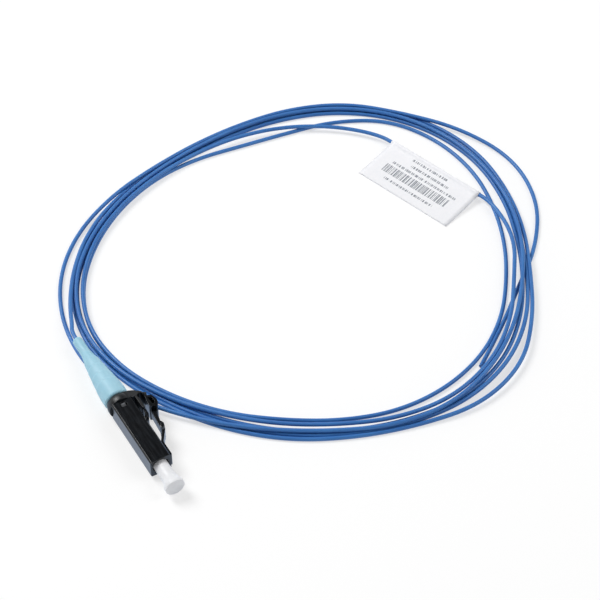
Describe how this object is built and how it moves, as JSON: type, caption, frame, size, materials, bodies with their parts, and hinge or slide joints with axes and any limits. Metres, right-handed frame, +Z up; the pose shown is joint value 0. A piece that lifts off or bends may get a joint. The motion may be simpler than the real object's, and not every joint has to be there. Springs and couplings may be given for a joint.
{
  "type": "fibre optic pigtail",
  "caption": "Small optical plug with a spring-loaded ferrule, latch lever, anti-snag trigger, boot and dust cap, on a thin coiled fibre with a bare end and a paper flag.",
  "frame": {"origin": "on the table, under the middle of the plug with its boot and dust cap, the free cord left out", "axes": "+X along the ferrule towards the dust cap, +Y towards the latch and the coil, +Z up; the plug lies on its side"},
  "size_m": [0.1, 0.1131, 0.0055],
  "materials": {
    "body_black": "moulded black plastic, fine texture",
    "clip_black": "moulded black plastic, slightly glossy",
    "lever_black": "moulded black plastic",
    "boot_aqua": "soft moulded aqua elastomer, satin",
    "cap_white": "moulded white polyethylene",
    "zirconia": "polished white zirconia ceramic",
    "plated_metal": "nickel-plated brass, turned",
    "spring_steel": "drawn stainless wire",
    "crimp_metal": "plain aluminium, crimped",
    "backbone_grey": "moulded grey plastic",
    "guide_plastic": "thin natural nylon tube",
    "glass_core": "bare silica fibre",
    "cord_blue": "blue tight-buffer jacket, satin",
    "label_paper": "white label paper"
  },
  "bodies": {
    "plug": {"plug_housing": "body_black", "rear_clip": "clip_black", "backbone": "backbone_grey", "crimp_ring": "crimp_metal", "boot": "boot_aqua", "coil_spring": "spring_steel", "inner_fibre": "cord_blue", "cord_coil": "cord_blue", "flag_label": "label_paper"},
    "latch": {"latch_lever": "lever_black"},
    "trigger": {"trigger_arm": "lever_black"},
    "ferrule_core": {"ferrule": "zirconia", "ferrule_flange": "plated_metal", "glass_fibre": "glass_core", "guide_tube": "guide_plastic"},
    "cap": {"dust_cap": "cap_white"}
  },
  "joints": [
    {"name": "trigger_press", "type": "hinge", "parent": "plug", "child": "trigger", "pos_m": [-0.00045, 0.00298, 0.00275], "axis": [0, 0, -1], "range_deg": [0, 10], "stiffness_Nm_per_rad": 0.06},
    {"name": "latch_flex", "type": "hinge", "parent": "plug", "child": "latch", "pos_m": [0.01195, 0.00055, 0.00275], "axis": [0, 0, 1], "range_deg": [0, 5]},
    {"name": "ferrule_push", "type": "slide", "parent": "plug", "child": "ferrule_core", "axis": [-1, 0, 0], "range_m": [0, 0.001], "stiffness_N_per_m": 1200, "deforming": ["coil_spring", "inner_fibre"]},
    {"name": "cap_pull", "type": "slide", "parent": "ferrule_core", "child": "cap", "axis": [1, 0, 0], "range_m": [0, 0.012]}
  ],
  "couplings": [
    {"joint": "latch_flex", "follows": "trigger_press", "ratio": 0.5}
  ]
}
